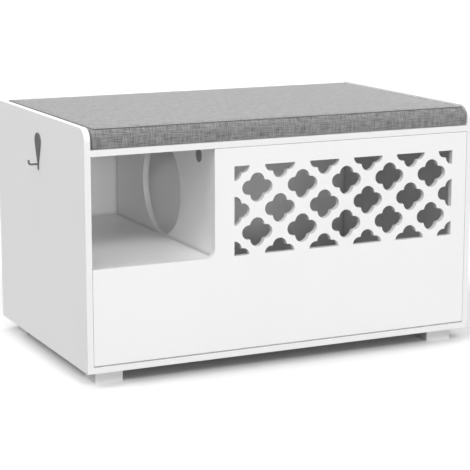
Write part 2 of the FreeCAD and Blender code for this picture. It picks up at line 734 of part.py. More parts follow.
def quatrefoil(x, z, window):
    """Outline of one lattice hole about (x, z), kept inside the lattice window."""
    window_left, window_right, window_low, window_high = window
    side_radius = value("sizes.side_petal_radius")
    top_radius = value("sizes.top_petal_radius")
    side_arm = value(f"sizes.lattice_hole_width * {half}") - side_radius
    top_arm = value(f"sizes.lattice_hole_height * {half}") - top_radius
    gap = math.hypot(side_arm, top_arm)
    along = (gap * gap + side_radius * side_radius - top_radius * top_radius) / (2 * gap)
    across = math.sqrt(side_radius * side_radius - along * along)
    cusp_x = side_arm - along * side_arm / gap + across * top_arm / gap
    cusp_z = along * top_arm / gap + across * side_arm / gap
    petals = {
        "right": ((cusp_x, -cusp_z), (side_arm + side_radius, 0), (cusp_x, cusp_z)),
        "up": ((cusp_x, cusp_z), (0, top_arm + top_radius), (-cusp_x, cusp_z)),
        "left": ((-cusp_x, cusp_z), (-side_arm - side_radius, 0), (-cusp_x, -cusp_z)),
        "down": ((-cusp_x, -cusp_z), (0, -top_arm - top_radius), (cusp_x, -cusp_z)),
    }
    arcs = []
    for places in petals.values():
        start, middle, end = [FreeCAD.Vector(x + dx, z + dz, 0) for dx, dz in places]
        arcs.append(Part.Arc(start, middle, end).toShape())
    whole = Part.Face(Part.Wire(arcs))
    frame_face = Part.makePlane(
        window_right - window_left,
        window_high - window_low,
        FreeCAD.Vector(window_left, window_low, 0),
    )
    return whole.common(frame_face)


lattice_left = value(f"{partition_left} + sizes.lattice_left_margin")
lattice_right = value(f"{right_outer} - sizes.lattice_right_margin")
lattice_low = value(shelf_top)
lattice_high = value(f"{door_high} - sizes.lattice_top_margin")
columns = round((lattice_right - lattice_left) / value("sizes.lattice_column_pitch"))
rows = round((lattice_high - lattice_low) / value("sizes.lattice_row_pitch"))
pitch_x = (lattice_right - lattice_left) / columns
pitch_z = (lattice_high - lattice_low) / rows
window = (lattice_left, lattice_right, lattice_low, lattice_high)
corner_spots = []
for row in range(rows + 1):
    for column in range(columns + 1):
        corner_spots.append((lattice_left + pitch_x * column, lattice_low + pitch_z * row))
middle_spots = []
for x, z in corner_spots:
    if x + pitch_x / 2 < lattice_right and z + pitch_z / 2 < lattice_high:
        middle_spots.append((x + pitch_x / 2, z + pitch_z / 2))
lattice_faces = [quatrefoil(x, z, window) for x, z in corner_spots + middle_spots]
lattice_depth = value("sizes.board_thickness + 2 * sizes.cut_overrun")
lattice_holes = doc.addObject("Part::Feature", "lattice_holes")
lattice_holes.Shape = Part.makeCompound([face.extrude(Z_AXIS * lattice_depth) for face in lattice_faces])
lattice_holes.Placement = frame(
    point("0", f"{door_back} + sizes.cut_overrun", "0"),
    X_AXIS,
    -Y_AXIS,
)
doc.recompute()


def edges_along_x(shape, y, z):
    """Names of the shape's edges that run along X at the given y and z."""
    names = []
    for index, edge in enumerate(shape.Edges, start=1):
        span = edge.BoundBox
        level = max(abs(span.YMin - y), abs(span.YMax - y), abs(span.ZMin - z), abs(span.ZMax - z))
        if level < value("sizes.fitting_clearance"):
            names.append(f"Edge{index}")
    return names


door_round = {
    "front": ("sizes.door_front_edge_radius", front),
    "rear": ("sizes.door_rear_edge_radius", door_back),
}
for edge_name, (radius, level) in door_round.items():
    fillet = door_body.newObject("PartDesign::Fillet", f"door_{edge_name}_edge")
    base = fillet.BaseFeature
    local_y = value(level) - value(door_back)
    fillet.Base = (base, edges_along_x(base.Shape, local_y, value(door_low)))
    fillet.setExpression("Radius", radius)
    doc.recompute()
flap_door = cut("flap_door", door_body, [lattice_holes, strike_bores] + pin_bores)

# Bumpers: soft dots on the front edges of the shelf and the partition
bumper_height = "(sizes.door_rear_gap - sizes.seat_clearance)"
bumper_unit = cylinder("bumper_unit", "sizes.bumper_diameter", bumper_height)
bumper_spots = [
    (f"{left_inner} + sizes.cam_inset", shelf_mid),
    (partition_mid, f"{seat_under} - sizes.cam_inset"),
    (partition_mid, f"{bottom_top} + sizes.cam_inset"),
]
bumper_frames = [frame(point(x, inner_front, z), X_AXIS, -Y_AXIS) for x, z in bumper_spots]
door_bumpers = copies("door_bumpers", bumper_unit, bumper_frames)

# Cam locks with a flush rim, cam bolts and dowels
cam_body = cylinder("cam_body", "sizes.cam_diameter", "sizes.cam_depth")
cam_body.setExpression("Placement.Base.x", "sizes.cam_reach")
cam_body.setExpression("Placement.Base.z", f"{cam_rise} - sizes.cam_depth")
cam_rim = cylinder("cam_rim", "sizes.cam_rim_diameter", "sizes.cam_rim_thickness")
cam_rim.setExpression("Placement.Base.x", "sizes.cam_reach")
cam_rim.setExpression("Placement.Base.z", f"{cam_rise} - sizes.cam_rim_thickness")
cam_blank = fuse("cam_blank", [cam_body, cam_rim])
slot_half = f"sizes.cam_slot_width * {half}"
slot_reach = f"sizes.cam_slot_length * {half}"
slot_levels = (f"({cam_rise} - sizes.cam_slot_depth)", f"({cam_rise} + sizes.cut_overrun)")
slot_along = box(
    "cam_slot_along",
    (f"(sizes.cam_reach - {slot_reach})", f"(sizes.cam_reach + {slot_reach})"),
    (f"(-{slot_half})", f"({slot_half})"),
    slot_levels,
)
slot_across = box(
    "cam_slot_across",
    (f"(sizes.cam_reach - {slot_half})", f"(sizes.cam_reach + {slot_half})"),
    (f"(-{slot_reach})", f"({slot_reach})"),
    slot_levels,
)
grip_bore = cylinder(
    "cam_grip_bore",
    "sizes.bolt_bore_diameter",
    "sizes.cam_reach + sizes.bolt_head_length",
    FreeCAD.Placement(NO_AXIS, to_own_x),
)
cam_unit = cut("cam_unit", cam_blank, [slot_along, slot_across, grip_bore])
cam_locks = copies("cam_locks", cam_unit, bolt_frames)
bolt_thread = cylinder(
    "bolt_thread",
    "sizes.bolt_thread_diameter",
    "sizes.bolt_thread_depth",
    FreeCAD.Placement(NO_AXIS, to_own_x),
)
bolt_thread.setExpression("Placement.Base.x", "-sizes.bolt_thread_depth")
bolt_shank = cylinder(
    "bolt_shank",
    "sizes.bolt_shank_diameter",
    "sizes.cam_reach",
    FreeCAD.Placement(NO_AXIS, to_own_x),
)
bolt_head = cylinder(
    "bolt_head",
    "sizes.bolt_head_diameter",
    "sizes.bolt_head_length",
    FreeCAD.Placement(NO_AXIS, to_own_x),
)
bolt_head.setExpression("Placement.Base.x", f"sizes.cam_reach - sizes.bolt_head_length * {half}")
bolt_unit = fuse("bolt_unit", [bolt_thread, bolt_shank, bolt_head])
cam_bolts = copies("cam_bolts", bolt_unit, bolt_frames)
dowel_unit = cylinder(
    "dowel_unit",
    "sizes.dowel_diameter",
    "sizes.dowel_depth_in_face + sizes.dowel_depth_in_edge",
    FreeCAD.Placement(NO_AXIS, to_own_x),
)
dowel_unit.setExpression("Placement.Base.x", "-sizes.dowel_depth_in_face")
dowels = copies("dowels", dowel_unit, dowel_frames)

# Screws
screw_frames = {
    "partition": ("partition_screws", partition_screw_frames),
    "back": ("back_panel_screws", back_screw_frames),
    "foot": ("foot_screws", foot_screw_frames),
    "hook": ("hook_screws", hook_screw_frames),
    "catch": ("catch_screws", catch_screw_frames),
    "strike": ("strike_screws", strike_screw_frames),
}
screw_groups = []
for kind, (label, frames) in screw_frames.items():
    screw_groups.append(copies(label, screw(f"{kind}_screw", kind), frames))

# Cushion: a foam core in a fabric cover, crowned on top, fullest at mid height, with sides
# that pull in between the corners
cushion_left = value(f"{left_inner} + sizes.cushion_end_gap")
cushion_right = value(f"{right_inner} - sizes.cushion_end_gap")
cushion_front = value(f"{front} + sizes.cushion_front_setback")
cushion_rear = value(f"{rear} - sizes.cushion_rear_setback")
cushion_low = value(f"{seat_top} + sizes.seat_clearance")
cushion_seam = value("sizes.cushion_seam_height")
crown = value("sizes.cushion_crown")
tuck = value("sizes.cushion_tuck")
side_draw = value("sizes.cushion_side_draw")
side_shares = ((0, 0.5), (0.3, 0.1), (0.55, 0), (1, 0.9))
crown_reach = (cushion_rear - cushion_front) / 2
crown_steps = 5
crown_reach_share = 0.8


def cushion_outline(inset, level, skin):
    """Rounded rectangle whose sides bow inwards a little between their corners."""
    margin = inset + skin
    x_low = cushion_left + margin
    x_high = cushion_right - margin
    y_low = cushion_front + margin
    y_high = cushion_rear - margin
    corner = value("sizes.cushion_corner_radius") - skin
    corners = [
        (x_low, y_low, corner),
        (x_high, y_low, corner),
        (x_high, y_high, corner),
        (x_low, y_high, corner),
    ]
    centre = FreeCAD.Vector((x_low + x_high) / 2, (y_low + y_high) / 2, 0)
    lift = FreeCAD.Vector(0, 0, level)
    shapes = []
    for edge in rounded_outline(corners):
        start = edge.value(edge.FirstParameter)
        end = edge.value(edge.LastParameter)
        middle = edge.value((edge.FirstParameter + edge.LastParameter) / 2)
        if isinstance(edge, Part.LineSegment):
            sideways = centre - middle
            along = (end - start).normalize()
            sideways = sideways - along * sideways.dot(along)
            middle = middle + sideways.normalize() * side_draw
        shapes.append(Part.Arc(start + lift, middle + lift, end + lift).toShape())
    return Part.Wire(shapes)


def cushion_form(name, skin):
    """Cushion drawn in on all sides by the thickness of a skin."""
    foot_level = cushion_low + skin
    side_height = cushion_seam - 2 * skin
    side_outlines = []
    for height_share, tuck_share in side_shares:
        level = foot_level + side_height * height_share
        side_outlines.append(cushion_outline(tuck * tuck_share, level, skin))
    seam_inset = tuck * side_shares[-1][1]
    seam_level = foot_level + side_height
    crown_outlines = [cushion_outline(seam_inset, seam_level, skin)]
    for step in range(1, crown_steps + 1):
        reach_share = crown_reach_share * step / crown_steps
        height_share = 1 - (1 - reach_share) ** 2
        inset = seam_inset + crown_reach * reach_share
        crown_outlines.append(cushion_outline(inset, seam_level + crown * height_share, skin))
    sides = Part.makeLoft(side_outlines, True, False)
    top = Part.makeLoft(crown_outlines, True, False)
    form = doc.addObject("Part::Feature", name)
    form.Shape = sides.fuse(top).removeSplitter()
    return form


skin = value("sizes.cover_thickness")
cover_form = cushion_form("cover_form", 0)
cover_cavity = cushion_form("cover_cavity", skin)
cushion_core = cushion_form("cushion_core", skin + value("sizes.seat_clearance"))
cushion_cover = cut("cushion_cover", cover_form, [cover_cavity])

nodes = [
    *side_panels,
    seat_board,
    bottom_board,
    back_panel,
    entry_shelf,
    partition_panel,
    flap_door,
    *pins,
    *bushes,
    catch_housings,
    catch_magnets,
    strike_plates,
    door_bumpers,
    *feet,
    scoop_hook,
    cam_locks,
    cam_bolts,
    dowels,
    *screw_groups,
    cushion_cover,
    cushion_core,
]
doc.recompute()
for item in doc.Objects:
    if "Invalid" in item.State or "Error" in item.State:
        raise RuntimeError(f"{item.Name} failed to build")
for node in nodes:
    if node.Shape.isNull() or not node.Shape.isValid():
        raise RuntimeError(f"{node.Label} has no valid shape")
os.makedirs("parts", exist_ok=True)
for node in nodes:
    node.Shape.exportStep(f"parts/{node.Label}.step")
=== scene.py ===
import math

import bmesh
import bpy
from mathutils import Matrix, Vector, noise


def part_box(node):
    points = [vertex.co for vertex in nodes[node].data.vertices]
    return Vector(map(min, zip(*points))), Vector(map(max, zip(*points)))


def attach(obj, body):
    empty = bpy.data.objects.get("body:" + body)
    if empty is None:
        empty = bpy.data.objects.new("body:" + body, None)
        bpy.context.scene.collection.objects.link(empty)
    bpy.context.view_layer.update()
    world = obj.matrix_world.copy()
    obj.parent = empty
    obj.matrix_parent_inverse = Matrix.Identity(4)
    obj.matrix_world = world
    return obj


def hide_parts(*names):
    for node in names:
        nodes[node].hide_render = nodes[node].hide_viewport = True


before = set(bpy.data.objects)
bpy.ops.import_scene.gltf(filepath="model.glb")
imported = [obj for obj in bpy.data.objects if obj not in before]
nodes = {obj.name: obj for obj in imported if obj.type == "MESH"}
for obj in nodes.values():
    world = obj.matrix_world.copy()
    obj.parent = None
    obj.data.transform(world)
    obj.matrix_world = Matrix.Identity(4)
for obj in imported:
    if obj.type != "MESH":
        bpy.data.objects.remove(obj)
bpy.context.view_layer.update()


# Boards: chipboard sheets faced on both sides with white melamine paper, pressed to a fine satin
# grain. Every sawn edge carries a thin white plastic band, glued on hot and trimmed flush. The
# boards are held to each other by cam locks, dowels and screws.
MM = 0.001
# Nearly all values of a noise texture lie between these two.
NOISE_LOW = 0.3
NOISE_HIGH = 0.7


def linear(hex_code):
    """Linear colour with full alpha from an sRGB hex code."""
    channels = [int(hex_code[start:start + 2], 16) / 255 for start in (1, 3, 5)]
    curve = [c / 12.92 if c <= 0.04045 else ((c + 0.055) / 1.055) ** 2.4 for c in channels]
    return (*curve, 1.0)


def add_node(tree, kind, settings=None, **inputs):
    """Adds a node, sets its properties and fills or links its inputs by name."""
    node = tree.nodes.new(kind)
    for name, setting in (settings or {}).items():
        setattr(node, name, setting)
    for name, source in inputs.items():
        index = int(name[5:]) if name.startswith("input") else name.replace("_", " ")
        if isinstance(source, bpy.types.NodeSocket):
            tree.links.new(source, node.inputs[index])
        else:
            node.inputs[index].default_value = source
    return node


def new_material(name):
    """Empty node material and its tree."""
    material = bpy.data.materials.new(name)
    material.use_nodes = True
    material.node_tree.nodes.clear()
    return material, material.node_tree


def dress(node_names, material):
    """Gives CAD nodes a finished material."""
    for name in node_names:
        nodes[name].material_slots[0].material = material


flap_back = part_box("flap_door")[1].y
seat_middle = (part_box("seat_board")[0].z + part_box("seat_board")[1].z) / 2


def melamine_board(name, face_hex, band_hex, thickness_axis):
    """Melamine faces across the thickness axis, plastic bands on every other side."""
    face_limit = 0.5
    grain_size = 0.9 * MM
    grain_depth = 0.05 * MM
    cloud_size = 180 * MM
    cloud_tone = 0.985
    # How far and how dark the shade painted into the inner corners goes.
    corner_shade_reach = 10 * MM
    corner_shade_tone = 0.76
    tight_corner = 0.5
    open_face = 0.95
    smooth_gloss = 0.36
    pore_gloss = 0.46
    material, tree = new_material(name)
    spot = add_node(tree, "ShaderNodeTexCoord")
    sides = add_node(tree, "ShaderNodeSeparateXYZ", Vector=spot.outputs["Normal"])
    facing = add_node(
        tree, "ShaderNodeMath", {"operation": "ABSOLUTE"}, input0=sides.outputs[thickness_axis])
    on_face = add_node(
        tree, "ShaderNodeMath", {"operation": "GREATER_THAN"},
        input0=facing.outputs[0], input1=face_limit)
    clouds = add_node(
        tree, "ShaderNodeTexNoise", Vector=spot.outputs["Object"], Scale=1 / cloud_size, Detail=2.0)
    grain = add_node(
        tree, "ShaderNodeTexNoise", Vector=spot.outputs["Object"], Scale=1 / grain_size, Detail=3.0)
    face_tone = add_node(
        tree, "ShaderNodeMapRange", Value=clouds.outputs["Fac"],
        From_Min=NOISE_LOW, From_Max=NOISE_HIGH, To_Min=cloud_tone, To_Max=1.0)
    sheet = add_node(
        tree, "ShaderNodeMix", {"data_type": "RGBA", "blend_type": "MULTIPLY"},
        input0=1.0, input6=linear(face_hex), input7=face_tone.outputs[0])
    place = add_node(tree, "ShaderNodeSeparateXYZ", Vector=spot.outputs["Object"])
    # Painted shade: behind the flap and below the middle of the seat, the colour darkens where
    # ambient occlusion finds another surface within 10 mm, as shade falls in inner corners.
    behind_flap = add_node(
        tree, "ShaderNodeMapRange", Value=place.outputs["Y"],
        From_Min=flap_back, From_Max=flap_back + corner_shade_reach)
    under_seat = add_node(
        tree, "ShaderNodeMath", {"operation": "LESS_THAN"},
        input0=place.outputs["Z"], input1=seat_middle)
    corner_shade_zone = add_node(
        tree, "ShaderNodeMath", {"operation": "MULTIPLY"},
        input0=behind_flap.outputs[0], input1=under_seat.outputs[0])
    corner = add_node(tree, "ShaderNodeAmbientOcclusion", {"samples": 8}, Distance=corner_shade_reach)
    painted_corner_shade = add_node(
        tree, "ShaderNodeMapRange", Value=corner.outputs["AO"],
        From_Min=tight_corner, From_Max=open_face, To_Min=corner_shade_tone, To_Max=1.0)
    corner_shaded = add_node(
        tree, "ShaderNodeMix", {"data_type": "RGBA", "blend_type": "MULTIPLY"},
        input0=corner_shade_zone.outputs[0], input6=sheet.outputs[2], input7=painted_corner_shade.outputs[0])
    colour = add_node(
        tree, "ShaderNodeMix", {"data_type": "RGBA"},
        input0=on_face.outputs[0], input6=linear(band_hex), input7=corner_shaded.outputs[2])
    gloss = add_node(
        tree, "ShaderNodeMapRange", Value=grain.outputs["Fac"],
        From_Min=NOISE_LOW, From_Max=NOISE_HIGH, To_Min=smooth_gloss, To_Max=pore_gloss)
    relief = add_node(
        tree, "ShaderNodeBump", Strength=0.12, Distance=grain_depth, Height=grain.outputs["Fac"])
    shader = add_node(
        tree, "ShaderNodeBsdfPrincipled", Base_Color=colour.outputs[2],
        Roughness=gloss.outputs[0], IOR=1.5, Normal=relief.outputs[0])
    add_node(tree, "ShaderNodeOutputMaterial", Surface=shader.outputs[0])
    return material


# Melamine paper is an even satin white and the band a trace greyer. The pores, about 0.3 mm, are
# drawn three times coarser so that they soften the gloss. Shade is painted into the colour along
# the inner corners where boards meet, behind the flap and under the seat.
white_face = "#F8F8F8"
white_band = "#F4F4F4"
upright_board = melamine_board("white_melamine_upright", white_face, white_band, "X")
level_board = melamine_board("white_melamine_level", white_face, white_band, "Z")
front_board = melamine_board("white_melamine_front", white_face, white_band, "Y")
dress(["left_side_panel", "right_side_panel", "partition_panel"], upright_board)
dress(["bottom_board", "seat_board", "entry_shelf"], level_board)
dress(["back_panel", "flap_door"], front_board)


# Fasteners: zinc-plated steel screws, bolts and pins, beech dowels, and die-cast zinc cam locks
# that sit flush in the boards. The plating is thin and slightly cloudy, the castings are dull.
def metal(name, colour_hex, dull_hex, roughness, grain_size):
    """Plated or cast metal, clouded at the scale of its grain."""
    gloss_spread = 0.15
    grain_depth = 0.05 * MM
    material, tree = new_material(name)
    spot = add_node(tree, "ShaderNodeTexCoord")
    cloud = add_node(
        tree, "ShaderNodeTexNoise", Vector=spot.outputs["Object"], Scale=1 / grain_size, Detail=4.0)
    colour = add_node(
        tree, "ShaderNodeMix", {"data_type": "RGBA"},
        input0=cloud.outputs["Fac"], input6=linear(colour_hex), input7=linear(dull_hex))
    gloss = add_node(
        tree, "ShaderNodeMapRange", Value=cloud.outputs["Fac"],
        From_Min=NOISE_LOW, From_Max=NOISE_HIGH,
        To_Min=roughness, To_Max=roughness + gloss_spread)
    relief = add_node(
        tree, "ShaderNodeBump", Strength=0.2, Distance=grain_depth, Height=cloud.outputs["Fac"])
    shader = add_node(
        tree, "ShaderNodeBsdfPrincipled", Base_Color=colour.outputs[2], Metallic=1.0,
        Roughness=gloss.outputs[0], Normal=relief.outputs[0])
    add_node(tree, "ShaderNodeOutputMaterial", Surface=shader.outputs[0])
    return material


# Zinc plating shines pale and slightly cloudy, while a casting is darker and dull.
plated_steel = metal("zinc_plated_steel", "#B9BABC", "#8F9092", 0.3, 2 * MM)
cast_zinc = metal("die_cast_zinc", "#B0B0B0", "#949494", 0.6, 1.2 * MM)
steel_nodes = [
    "pivot_pin_left", "pivot_pin_right", "catch_screws", "strike_plates", "strike_screws",
    "foot_screws", "cam_bolts", "partition_screws", "back_panel_screws",
]
dress(steel_nodes, plated_steel)
dress(["cam_locks"], cast_zinc)

# Beech shows narrow brown streaks along the length of each dowel.
streak_length = 25 * MM
streak_width = 1.1 * MM
beech, beech_tree = new_material("turned_beech")
beech_spot = add_node(beech_tree, "ShaderNodeTexCoord")
beech_stretch = add_node(
    beech_tree, "ShaderNodeMapping", Vector=beech_spot.outputs["Object"],
    Scale=(1 / streak_length, 1 / streak_width, 1 / streak_width))
beech_grain = add_node(
    beech_tree, "ShaderNodeTexNoise", Vector=beech_stretch.outputs[0], Scale=1.0, Detail=3.0)
beech_colour = add_node(
    beech_tree, "ShaderNodeMix", {"data_type": "RGBA"},
    input0=beech_grain.outputs["Fac"], input6=linear("#C9A880"), input7=linear("#9F7A52"))
beech_shader = add_node(
    beech_tree, "ShaderNodeBsdfPrincipled", Base_Color=beech_colour.outputs[2], Roughness=0.6)
add_node(beech_tree, "ShaderNodeOutputMaterial", Surface=beech_shader.outputs[0])
dress(["dowels"], beech)


# Moulded plastic: white feet, white bushes and catch housings, and clear soft bumper dots,
# all injection moulded with a fine spark-eroded grain.
def moulded(name, colour_hex, roughness, grain_size):
    """Injection-moulded plastic with a fine even grain."""
    grain_tone = 0.96
    grain_depth = 0.05 * MM
    material, tree = new_material(name)
    spot = add_node(tree, "ShaderNodeTexCoord")
    grain = add_node(
        tree, "ShaderNodeTexNoise", Vector=spot.outputs["Object"], Scale=1 / grain_size, Detail=2.0)
    tone = add_node(
        tree, "ShaderNodeMapRange", Value=grain.outputs["Fac"],
        From_Min=NOISE_LOW, From_Max=NOISE_HIGH, To_Min=grain_tone, To_Max=1.0)
    colour = add_node(
        tree, "ShaderNodeMix", {"data_type": "RGBA", "blend_type": "MULTIPLY"},
        input0=1.0, input6=linear(colour_hex), input7=tone.outputs[0])
    relief = add_node(
        tree, "ShaderNodeBump", Strength=0.25, Distance=grain_depth, Height=grain.outputs["Fac"])
    shader = add_node(
        tree, "ShaderNodeBsdfPrincipled", Base_Color=colour.outputs[2],
        Roughness=roughness, IOR=1.5, Normal=relief.outputs[0])
    add_node(tree, "ShaderNodeOutputMaterial", Surface=shader.outputs[0])
    return material


# The mould's grain, about 0.1 mm, is drawn coarser so that it still breaks the gloss: half matt on
# the white feet, creamier on the nylon, soft and pale on the dots, dull black on the magnets.
dress(
    ["foot_front_left", "foot_front_right", "foot_rear_left", "foot_rear_right"],
    moulded("moulded_white_abs", "#FAFAFA", 0.5, 0.8 * MM))
dress(
    ["pivot_bush_left", "pivot_bush_right", "catch_housings"],
    moulded("moulded_white_nylon", "#EDEDEB", 0.4, 0.8 * MM))
dress(["door_bumpers"], moulded("soft_clear_urethane", "#D9D9D6", 0.3, 1.5 * MM))
dress(["catch_magnets"], moulded("sintered_ferrite", "#2A2A2A", 0.7, 0.5 * MM))


# Scoop hook: a drop-shaped steel plate with a bent rod arm welded on, powder coated dark grey
# and held to the left side by countersunk screws of the same colour. The baked powder leaves an
# even dark skin with a slight orange peel.
dress(["scoop_hook", "hook_screws"], moulded("dark_grey_powder_coat", "#646464", 0.45, 0.35 * MM))


# Seat cushion: a foam block in a sewn cover of grey melange plain weave. The top panel meets the
# side band in one plain seam that draws a narrow fold into the edge, while the foam pushes the
# panels out, so the band is fullest at mid height.
cushion_low, cushion_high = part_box("cushion_cover")
cushion_size = cushion_high - cushion_low
cushion_middle = (cushion_high + cushion_low) / 2
seam_height = 37.5 * MM
full_height = 20 * MM
foot_inset = Vector((2.25 * MM, 2.25 * MM))
seam_inset = Vector((3.4 * MM, 4 * MM))
end_slack = 1.5 * MM
right_shift = 0.7 * MM
fold_depth = 1.8 * MM
fold_sink = fold_depth / 3
corner_radius = 4.5 * MM
side_draw = 0.8 * MM
start_crown = 5.5 * MM
pucker = 0.35 * MM
pucker_length = 26 * MM
cell = 9 * MM
edge_steps = [0.0, 3 * MM, 7 * MM]
levels = [level * MM for level in (0, 2.5, 8, 14, 20, 26, 32, 36, 37.5)]


def stations(length):
    """Distances along one side of the cushion, closer together next to its ends."""
    inner = length - 2 * edge_steps[-1]
    count = round(inner / cell)
    middle = [edge_steps[-1] + inner * step / count for step in range(count + 1)]
    return edge_steps[:-1] + middle + [length - step for step in reversed(edge_steps[:-1])]


columns = stations(cushion_size.x)
lines = stations(cushion_size.y)
last_column = len(columns) - 1
last_line = len(lines) - 1
seam_row = len(levels) - 1


def band_inset(level):
    """How far the ends and the long sides stand in from their fullest outline at a height."""
    if level < full_height:
        return foot_inset * (1 - level / full_height) ** 2
    return seam_inset * ((level - full_height) / (seam_height - full_height)) ** 2


def cushion_point(column, line, row):
    """Place of one grid point of the cushion's skin."""
    on_edge = column in (0, last_column) or line in (0, last_line)
    inset = band_inset(levels[row])
    height = levels[row]
    if on_edge and row == seam_row:
        inset += Vector((fold_depth, fold_depth))
        height -= fold_sink
    half = cushion_size.xy / 2 - inset - Vector((end_slack, 0))
    across = Vector((
        columns[column] / cushion_size.x * 2 - 1,
        lines[line] / cushion_size.y * 2 - 1))
    plan = Vector((across.x * half.x, across.y * half.y))
    core = Vector((half.x - corner_radius, half.y - corner_radius))
    hold = Vector((max(-core.x, min(core.x, plan.x)), max(-core.y, min(core.y, plan.y))))
    reach = plan - hold
    if reach.x and reach.y:
        reach *= max(abs(reach.x), abs(reach.y)) / reach.length
    plan = hold + reach
    plan.x -= side_draw * across.x * abs(across.x) * (1 - across.y ** 2)
    plan.y -= side_draw * across.y * abs(across.y) * (1 - across.x ** 2)
    if row == seam_row and not on_edge:
        edge = min(cushion_size.x * (1 - abs(across.x)), cushion_size.y * (1 - abs(across.y))) / 2
        rise = min(1.0, edge / (cushion_size.y / 2))
        height += start_crown * (1 - (1 - rise) ** 2)
        gather = noise.noise(plan.to_3d() / pucker_length)
        height += pucker * (1 + gather) * math.exp(-edge / pucker_length)
    plan += cushion_middle.xy + Vector((right_shift, 0))
    return Vector((plan.x, plan.y, cushion_low.z + height))


cushion_mesh = bpy.data.meshes.new("seat_cushion")
cushion_form = bmesh.new()
weave_map = cushion_form.loops.layers.uv.new("weave")
# Marks the seam's fold for the geometry and for the shade painted into the cover there.
seam_fold_and_shade = cushion_form.verts.layers.float.new("seam_fold_and_shade")
seam_crease = cushion_form.edges.layers.float.new("crease_edge")
skin = {}
for row in range(len(levels)):
    for line in range(len(lines)):
        for column in range(len(columns)):
            on_edge = column in (0, last_column) or line in (0, last_line)
            if on_edge or row in (0, seam_row):
                vert = cushion_form.verts.new(cushion_point(column, line, row))
                vert[seam_fold_and_shade] = float(on_edge and row == seam_row)
                skin[column, line, row] = vert


def skin_face(corners, first, second):
    """One quad of the skin, with its cloth coordinates in metres along two axes."""
    face = cushion_form.faces.new([skin[corner] for corner in corners])
    for loop in face.loops:
        loop[weave_map].uv = (loop.vert.co[first], loop.vert.co[second])


for line in range(last_line):
    for column in range(last_column):
        ring = [(column, line), (column + 1, line), (column + 1, line + 1), (column, line + 1)]
        skin_face([(x, y, seam_row) for x, y in ring], 0, 1)
        skin_face([(x, y, 0) for x, y in reversed(ring)], 0, 1)
for row in range(seam_row):
    for column in range(last_column):
        ring = [(column, row), (column + 1, row), (column + 1, row + 1), (column, row + 1)]
        skin_face([(x, 0, z) for x, z in ring], 0, 2)
        skin_face([(x, last_line, z) for x, z in reversed(ring)], 0, 2)
    for line in range(last_line):
        ring = [(line, row), (line + 1, row), (line + 1, row + 1), (line, row + 1)]
        skin_face([(last_column, y, z) for y, z in ring], 1, 2)
        skin_face([(0, y, z) for y, z in reversed(ring)], 1, 2)
for edge in cushion_form.edges:
    if all(vert[seam_fold_and_shade] for vert in edge.verts):
        edge[seam_crease] = 1.0
cushion_form.normal_update()
cushion_form.verts.index_update()
seam_ring = [(column, 0) for column in range(last_column)]
seam_ring += [(last_column, line) for line in range(last_line)]
seam_ring += [(column, last_line) for column in range(last_column, 0, -1)]
seam_ring += [(0, line) for line in range(last_line, 0, -1)]
seam_points = [skin[column, line, seam_row].co.copy() for column, line in seam_ring]
held_verts = [vert.index for vert in cushion_form.verts if vert[seam_fold_and_shade]]
held_verts += [vert.index for place, vert in skin.items() if place[2] == 0]
cushion_form.to_mesh(cushion_mesh)
cushion_form.free()
cushion = bpy.data.objects.new("seat_cushion", cushion_mesh)
bpy.context.scene.collection.objects.link(cushion)

# The foam's push on the cover is simulated as air under pressure in a cloth that is held along the
# seam and the underside. No point moves further than the fullness that shows on the real one.
foam_pressure = 4.0
cover_slack = 0.01
fullness = 1.2 * MM
last_frame = 20
held = cushion.vertex_groups.new(name="held")
held.add(held_verts, 1.0, "REPLACE")
cloth = cushion.modifiers.new("cover_cloth", "CLOTH")
cloth.settings.vertex_group_mass = "held"
cloth.settings.use_pressure = True
cloth.settings.uniform_pressure_force = foam_pressure
cloth.settings.shrink_min = -cover_slack
cloth.settings.effector_weights.gravity = 0.0
for frame_number in range(1, last_frame + 1):
    bpy.context.scene.frame_set(frame_number)
graph = bpy.context.evaluated_depsgraph_get()
puffed = bpy.data.meshes.new_from_object(cushion.evaluated_get(graph))
for before, after in zip(cushion_mesh.vertices, puffed.vertices):
    move = after.co - before.co
    if move.length > fullness:
        after.co = before.co + move * (fullness / move.length)
cushion.modifiers.clear()
cushion.data = puffed
bpy.context.scene.frame_set(1)
cushion.vertex_groups.clear()
cushion.data.polygons.foreach_set("use_smooth", [True] * len(cushion.data.polygons))
smooth = cushion.modifiers.new("smooth_cover", "SUBSURF")
smooth.levels = 1
smooth.render_levels = 1

# The yarn is spun from light and dark fibres, which gives the band its flecks. It is drawn about
# three times coarser than the real yarn, so the flecks hold at the photograph's distance.
thread = 2 * MM
thread_height = 0.4 * MM
slub_length = 28 * MM
dark_fibre = "#555555"
light_fibre = "#A4A4A4"
# Painted shade for the seam's fold.
painted_seam_shade = "#4C4C4C"
melange, cloth_tree = new_material("grey_melange_plain_weave")
weave = add_node(cloth_tree, "ShaderNodeUVMap", {"uv_map": "weave"})
yarns = []
for stretch in ((1 / thread, 1 / slub_length, 1.0), (1 / slub_length, 1 / thread, 1.0)):
    along = add_node(cloth_tree, "ShaderNodeMapping", Vector=weave.outputs[0], Scale=stretch)
    yarns.append(add_node(
        cloth_tree, "ShaderNodeTexNoise", {"noise_dimensions": "2D"},
        Vector=along.outputs[0], Scale=1.0, Detail=2.0, Roughness=0.6))
crossing = add_node(cloth_tree, "ShaderNodeTexChecker", Vector=weave.outputs[0], Scale=1 / thread)
yarn = add_node(
    cloth_tree, "ShaderNodeMix", input0=crossing.outputs["Fac"],
    input2=yarns[0].outputs["Fac"], input3=yarns[1].outputs["Fac"])
tone = add_node(
    cloth_tree, "ShaderNodeMapRange", Value=yarn.outputs[0],
    From_Min=NOISE_LOW, From_Max=NOISE_HIGH, To_Min=0.0, To_Max=1.0)
dye = add_node(
    cloth_tree, "ShaderNodeMix", {"data_type": "RGBA"},
    input0=tone.outputs[0], input6=linear(dark_fibre), input7=linear(light_fibre))
